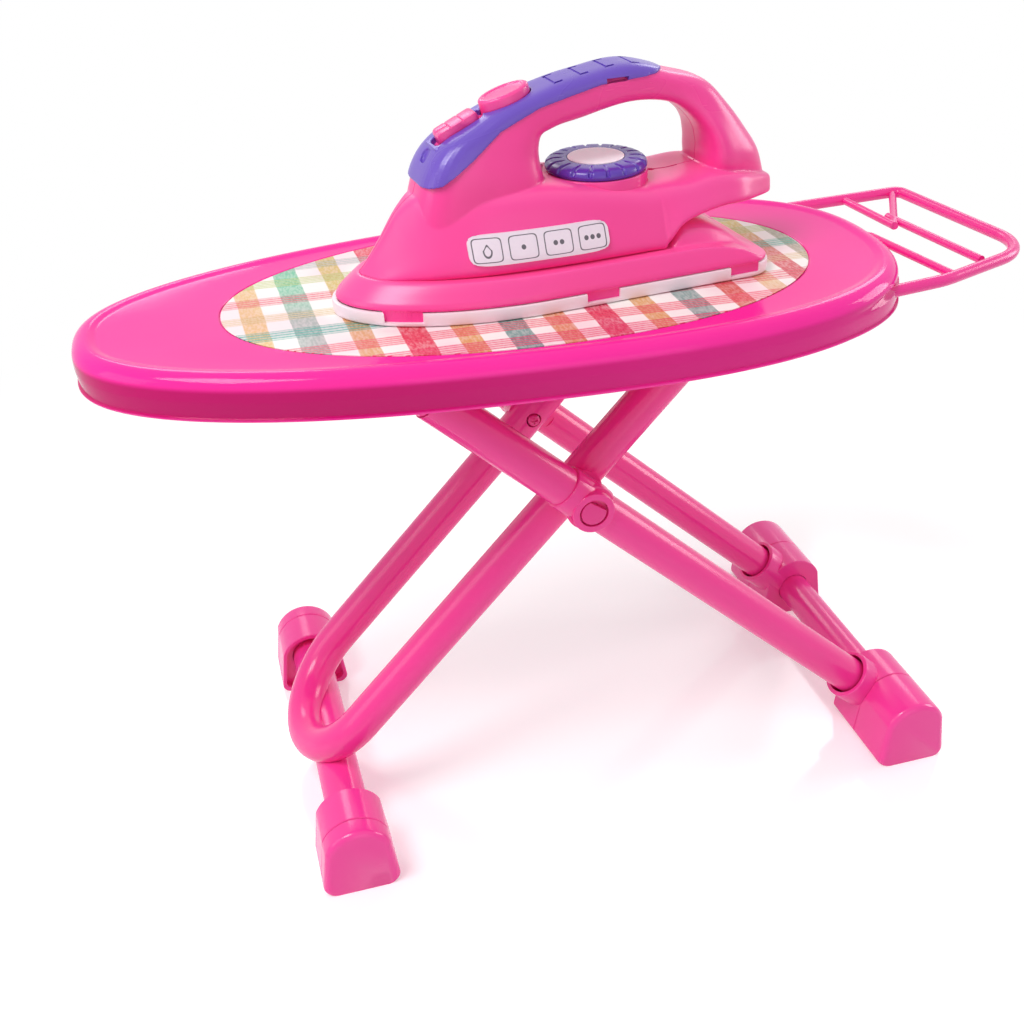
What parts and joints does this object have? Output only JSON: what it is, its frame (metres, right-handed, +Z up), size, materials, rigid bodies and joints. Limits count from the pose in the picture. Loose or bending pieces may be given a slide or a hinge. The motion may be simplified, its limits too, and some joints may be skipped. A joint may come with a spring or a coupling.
{
  "type": "toy ironing board",
  "caption": "Toy ironing board on folding scissor legs, with an oval plaid inlay, a rod rack at one end and a toy iron with a dial, a spray button and a slide switch.",
  "frame": {"origin": "on the floor, under the middle of the length from the board's nose to the rack's tip", "axes": "+X along the board towards the rack, +Z up, -Y towards the side with the iron's label plate"},
  "size_m": [0.4902, 0.2118, 0.3842],
  "materials": {
    "gloss_pink": "gloss",
    "foot_pink": "semi-gloss",
    "plaid_inlay": "printed cloth",
    "plated_steel": "plated",
    "iron_pink": "satin",
    "iron_purple": "satin",
    "sole_white": "satin"
  },
  "bodies": {
    "board": {"board_top_shell": "gloss_pink", "cover_inlay": "plaid_inlay", "iron_rack": "gloss_pink", "rack_bracket": "gloss_pink", "leg_channel": "plated_steel", "channel_screw_1": "plated_steel", "channel_screw_2": "plated_steel", "channel_screw_3": "plated_steel", "channel_screw_4": "plated_steel", "inner_leg_hinge_shaft": "plated_steel", "hinge_spacer_near": "gloss_pink", "hinge_spacer_far": "gloss_pink"},
    "inner_leg": {"inner_leg_frame": "gloss_pink", "inner_leg_eye_near": "gloss_pink", "inner_leg_eye_far": "gloss_pink", "inner_foot_bar": "foot_pink", "inner_foot_sleeve_near": "foot_pink", "inner_foot_sleeve_far": "foot_pink", "inner_foot_cap_near": "foot_pink", "inner_foot_cap_far": "foot_pink", "inner_foot_screw": "plated_steel", "pivot_pin_near": "gloss_pink", "pivot_pin_far": "gloss_pink", "pivot_screw_near": "plated_steel", "pivot_screw_far": "plated_steel"},
    "outer_leg": {"outer_leg_tube_near": "gloss_pink", "outer_leg_tube_far": "gloss_pink", "outer_leg_eye_near": "gloss_pink", "outer_leg_eye_far": "gloss_pink", "outer_leg_top_rod": "plated_steel", "outer_foot_bar": "foot_pink", "outer_foot_coupler_near": "foot_pink", "outer_foot_coupler_far": "foot_pink", "outer_foot_cap_near": "foot_pink", "outer_foot_cap_far": "foot_pink", "pivot_washer_near": "plated_steel", "pivot_washer_far": "plated_steel"},
    "iron": {"iron_soleplate": "sole_white", "iron_base_skirt": "iron_pink", "iron_body_near_half": "iron_pink", "iron_body_far_half": "iron_pink", "iron_body_screw_1": "plated_steel", "iron_body_screw_2": "plated_steel", "iron_body_screw_3": "plated_steel", "iron_base_screw_1": "plated_steel", "iron_base_screw_2": "plated_steel", "iron_label_plate": "sole_white", "iron_grip_cover": "iron_purple", "iron_button_spring": "plated_steel"},
    "dial": {"iron_dial": "iron_purple", "iron_dial_disc": "sole_white"},
    "spray_button": {"iron_spray_button": "iron_pink"},
    "slide_switch": {"iron_slide_switch": "iron_pink"}
  },
  "joints": [
    {"name": "leg_fold", "type": "hinge", "parent": "board", "child": "inner_leg", "pos_m": [0.055, 0, 0.258], "axis": [0, 1, 0], "range_deg": [0, 44]},
    {"name": "leg_scissor", "type": "hinge", "parent": "inner_leg", "child": "outer_leg", "pos_m": [-0.0143, 0, 0.1858], "axis": [0, -1, 0], "range_deg": [0, 81.2]},
    {"name": "iron_slide", "type": "slide", "parent": "board", "child": "iron", "axis": [1, 0, 0], "range_m": [-0.06, 0.045]},
    {"name": "dial_turn", "type": "hinge", "parent": "iron", "child": "dial", "pos_m": [0.01241, 0.00066, 0.3343], "axis": [0, 0, 1], "continuous": true},
    {"name": "spray_press", "type": "slide", "parent": "iron", "child": "spray_button", "axis": [0.2715, 0.0254, -0.9621], "range_m": [0, 0.0022], "stiffness_N_per_m": 400, "springref_m": -0.001, "deforming": ["iron_button_spring"]},
    {"name": "switch_slide", "type": "slide", "parent": "iron", "child": "slide_switch", "axis": [0.9123, 0.0853, 0.4006], "range_m": [-0.002, 0.002]}
  ],
  "couplings": [
    {"joint": "leg_scissor", "follows": "leg_fold", "ratio": 1.844}
  ]
}
